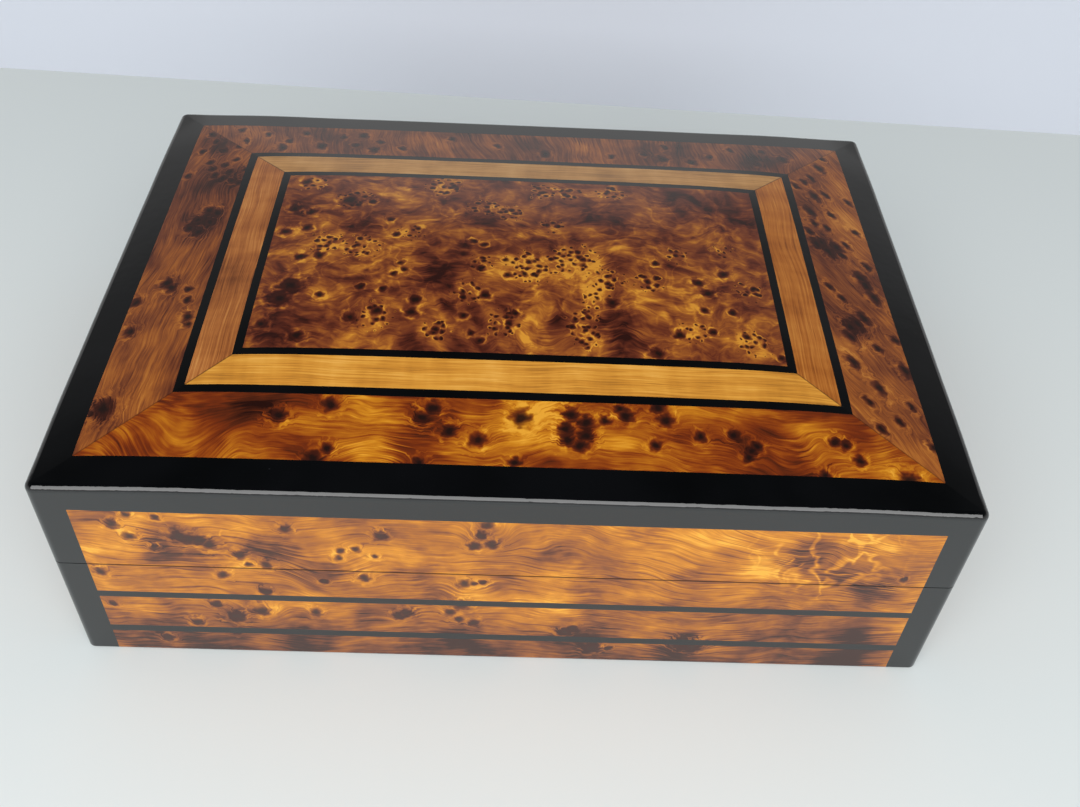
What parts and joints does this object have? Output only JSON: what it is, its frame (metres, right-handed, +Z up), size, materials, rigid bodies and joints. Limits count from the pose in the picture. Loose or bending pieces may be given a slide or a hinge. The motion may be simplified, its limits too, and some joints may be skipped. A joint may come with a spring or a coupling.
{
  "type": "hinged keepsake box",
  "caption": "Rectangular keepsake box with a pillow-topped lid hinged at the back, burl veneer panels, black corner edging and inlaid lines, and a lined interior.",
  "frame": {"origin": "middle of the underside, on the surface the box stands on", "axes": "+X along the front to the viewer's right, +Y from the front to the hinged back, +Z up"},
  "size_m": [0.3, 0.2212, 0.1014],
  "materials": {
    "burl_veneer": "dark-eyed burl veneer under high-gloss lacquer",
    "pale_veneer": "straight-grained veneer under high-gloss lacquer",
    "black_edging": "ebonised wood under high-gloss lacquer",
    "carcass_wood": "plain sanded board, hidden in use",
    "lining_cloth": "short-pile suede cloth on card",
    "underside_felt": "thin wool felt",
    "hinge_brass": "polished brass"
  },
  "bodies": {
    "base_box": {"base_back_board": "carcass_wood", "base_back_left_post": "black_edging", "base_back_lower_burl": "burl_veneer", "base_back_middle_burl": "burl_veneer", "base_back_right_post": "black_edging", "base_back_upper_burl": "burl_veneer", "base_front_board": "carcass_wood", "base_front_left_post": "black_edging", "base_front_lower_burl": "burl_veneer", "base_front_middle_burl": "burl_veneer", "base_front_right_post": "black_edging", "base_front_upper_burl": "burl_veneer", "base_hinge_leaves": "hinge_brass", "base_hinge_screws": "hinge_brass", "base_left_board": "carcass_wood", "base_left_lower_burl": "burl_veneer", "base_left_middle_burl": "burl_veneer", "base_left_upper_burl": "burl_veneer", "base_right_board": "carcass_wood", "base_right_lower_burl": "burl_veneer", "base_right_middle_burl": "burl_veneer", "base_right_upper_burl": "burl_veneer", "base_stringing": "black_edging", "base_wall_lining": "lining_cloth", "bottom_panel": "carcass_wood", "floor_lining": "lining_cloth", "hinge_pins": "hinge_brass", "underside_felt": "underside_felt"},
    "lid": {"ceiling_lining": "lining_cloth", "lid_back_board": "carcass_wood", "lid_back_burl": "burl_veneer", "lid_back_burl_band": "burl_veneer", "lid_back_left_post": "black_edging", "lid_back_pale_band": "pale_veneer", "lid_back_rail": "black_edging", "lid_back_right_post": "black_edging", "lid_centre_burl": "burl_veneer", "lid_front_board": "carcass_wood", "lid_front_burl": "burl_veneer", "lid_front_burl_band": "burl_veneer", "lid_front_left_post": "black_edging", "lid_front_pale_band": "pale_veneer", "lid_front_rail": "black_edging", "lid_front_right_post": "black_edging", "lid_hinge_leaves": "hinge_brass", "lid_hinge_screws": "hinge_brass", "lid_left_board": "carcass_wood", "lid_left_burl": "burl_veneer", "lid_left_burl_band": "burl_veneer", "lid_left_pale_band": "pale_veneer", "lid_left_rail": "black_edging", "lid_panel": "carcass_wood", "lid_right_board": "carcass_wood", "lid_right_burl": "burl_veneer", "lid_right_burl_band": "burl_veneer", "lid_right_pale_band": "pale_veneer", "lid_right_rail": "black_edging", "lid_stringing": "black_edging", "lid_wall_lining": "lining_cloth"}
  },
  "joints": [
    {"name": "lid_hinge", "type": "hinge", "parent": "base_box", "child": "lid", "pos_m": [0, 0.1095, 0.05], "axis": [-1, 0, 0], "range_deg": [0, 100]}
  ]
}
